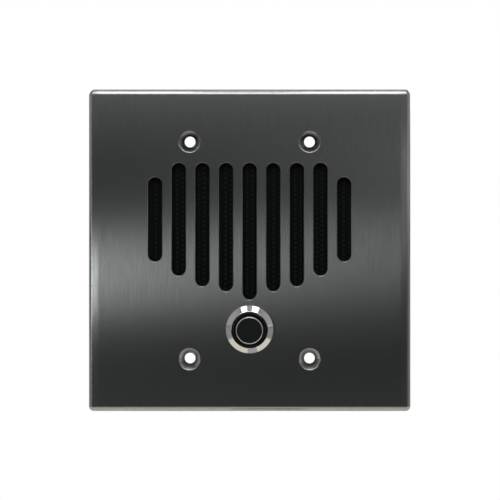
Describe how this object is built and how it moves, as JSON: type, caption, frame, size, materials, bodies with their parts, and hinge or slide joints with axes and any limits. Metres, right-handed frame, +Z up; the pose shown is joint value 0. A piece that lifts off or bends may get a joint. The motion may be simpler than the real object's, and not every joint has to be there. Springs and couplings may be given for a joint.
{
  "type": "door intercom speaker",
  "caption": "Flush two-gang door station: square brushed steel plate with slotted speaker grille, loudspeaker, microphone and one round push button.",
  "frame": {"origin": "centre of the four wall screws, on the back face of the plate", "axes": "+Z up along the wall, +X right as seen from in front, the plate faces -Y and +Y goes into the wall"},
  "size_m": [0.1238, 0.0364, 0.1238],
  "materials": {
    "brushed_stainless": "brushed stainless steel, vertical grain",
    "polished_stainless": "turned and polished stainless steel",
    "black_anodised": "black anodised with a diamond-cut bright edge",
    "black_screen": "black painted perforated sheet",
    "black_foam": "closed-cell foam",
    "black_rubber": "moulded rubber",
    "black_plastic": "moulded, glossy",
    "zinc_plate": "bright zinc plate",
    "speaker_steel": "black lacquered pressing",
    "cone_paper": "pressed paper",
    "treated_cloth": "resin-treated cloth",
    "copper_wire": "enamelled copper winding",
    "ferrite": "sintered ferrite",
    "brass": "nickel-free brass",
    "phenolic": "phenolic paper",
    "tinned": "tin plate",
    "laminate_green": "solder mask on glass epoxy",
    "terminal_green": "moulded polyamide",
    "trimmer_blue": "moulded, satin",
    "rotor_white": "moulded, matt",
    "capacitor_sleeve": "shrunk sleeve",
    "core_steel": "stacked silicon steel",
    "winding_tape": "polyester tape",
    "chip_epoxy": "moulded epoxy",
    "chip_ceramic": "ceramic with tinned ends",
    "capsule_can": "drawn aluminium",
    "spring_steel": "drawn spring wire",
    "red_insulation": "PVC insulation",
    "black_insulation": "PVC insulation"
  },
  "bodies": {
    "station": {"amplifier_chip": "chip_epoxy", "board_screws": "zinc_plate", "button_bezel": "polished_stainless", "button_lead_1": "black_insulation", "button_lead_2": "red_insulation", "button_lock_washer": "polished_stainless", "button_nut": "polished_stainless", "button_ring": "black_plastic", "button_seal": "black_rubber", "capacitors": "capacitor_sleeve", "chip_legs": "tinned", "circuit_board": "laminate_green", "contact_blades": "tinned", "faceplate": "brushed_stainless", "grille_screen": "black_screen", "lock_washers": "zinc_plate", "microphone_boot": "black_rubber", "microphone_capsule": "capsule_can", "microphone_pins": "tinned", "plunger_wiper": "black_rubber", "return_spring": "spring_steel", "small_parts": "chip_ceramic", "speaker_basket": "speaker_steel", "speaker_clamp": "zinc_plate", "speaker_gasket": "black_foam", "speaker_lead_1": "black_insulation", "speaker_lead_2": "red_insulation", "speaker_lugs": "tinned", "speaker_magnet": "ferrite", "speaker_spider": "treated_cloth", "speaker_surround": "black_rubber", "speaker_tag_strip": "phenolic", "speaker_top_plate": "zinc_plate", "speaker_yoke": "zinc_plate", "standoffs": "brass", "switch_base": "black_plastic", "terminal_bars": "tinned", "terminal_block": "terminal_green", "transformer_coil": "winding_tape", "transformer_core": "core_steel", "trimmer_body": "trimmer_blue", "wall_gasket": "black_foam", "weld_studs": "brushed_stainless"},
    "button": {"button_plunger": "black_anodised", "moving_contact": "brass"},
    "cone": {"speaker_cone": "cone_paper", "dust_cap": "cone_paper", "voice_coil_former": "phenolic", "voice_coil": "copper_wire"},
    "trimmer": {"trimmer_rotor": "rotor_white"},
    "clamp_screw_1": {"clamp_screw_1": "zinc_plate"},
    "clamp_cage_1": {"clamp_cage_1": "zinc_plate"},
    "clamp_screw_2": {"clamp_screw_2": "zinc_plate"},
    "clamp_cage_2": {"clamp_cage_2": "zinc_plate"},
    "clamp_screw_3": {"clamp_screw_3": "zinc_plate"},
    "clamp_cage_3": {"clamp_cage_3": "zinc_plate"},
    "clamp_screw_4": {"clamp_screw_4": "zinc_plate"},
    "clamp_cage_4": {"clamp_cage_4": "zinc_plate"}
  },
  "joints": [
    {"name": "button_press", "type": "slide", "parent": "station", "child": "button", "axis": [0, 1, 0], "range_m": [0, 0.00175], "stiffness_N_per_m": 1200, "springref_m": -0.0015, "deforming": ["return_spring"]},
    {"name": "cone_travel", "type": "slide", "parent": "station", "child": "cone", "axis": [0, 1, 0], "range_m": [-0.0008, 0.0008], "stiffness_N_per_m": 1500, "deforming": ["speaker_surround", "speaker_spider"]},
    {"name": "trimmer_turn", "type": "hinge", "parent": "station", "child": "trimmer", "pos_m": [-0.038, 0, -0.005], "axis": [0, 1, 0], "range_deg": [-130, 130]},
    {"name": "clamp_screw_1_turn", "type": "hinge", "parent": "station", "child": "clamp_screw_1", "pos_m": [0.0391, 0, 0.00088], "axis": [0, -1, 0], "continuous": true},
    {"name": "clamp_cage_1_rise", "type": "slide", "parent": "station", "child": "clamp_cage_1", "axis": [0, 1, 0], "range_m": [0, 0.0015]},
    {"name": "clamp_screw_2_turn", "type": "hinge", "parent": "station", "child": "clamp_screw_2", "pos_m": [0.0391, 0, 0.00596], "axis": [0, -1, 0], "continuous": true},
    {"name": "clamp_cage_2_rise", "type": "slide", "parent": "station", "child": "clamp_cage_2", "axis": [0, 1, 0], "range_m": [0, 0.0015]},
    {"name": "clamp_screw_3_turn", "type": "hinge", "parent": "station", "child": "clamp_screw_3", "pos_m": [0.0391, 0, 0.01104], "axis": [0, -1, 0], "continuous": true},
    {"name": "clamp_cage_3_rise", "type": "slide", "parent": "station", "child": "clamp_cage_3", "axis": [0, 1, 0], "range_m": [0, 0.0015]},
    {"name": "clamp_screw_4_turn", "type": "hinge", "parent": "station", "child": "clamp_screw_4", "pos_m": [0.0391, 0, 0.01612], "axis": [0, -1, 0], "continuous": true},
    {"name": "clamp_cage_4_rise", "type": "slide", "parent": "station", "child": "clamp_cage_4", "axis": [0, 1, 0], "range_m": [0, 0.0015]}
  ],
  "couplings": [
    {"joint": "clamp_screw_1_turn", "follows": "clamp_cage_1_rise", "rad_per_m": 12566},
    {"joint": "clamp_screw_2_turn", "follows": "clamp_cage_2_rise", "rad_per_m": 12566},
    {"joint": "clamp_screw_3_turn", "follows": "clamp_cage_3_rise", "rad_per_m": 12566},
    {"joint": "clamp_screw_4_turn", "follows": "clamp_cage_4_rise", "rad_per_m": 12566}
  ]
}
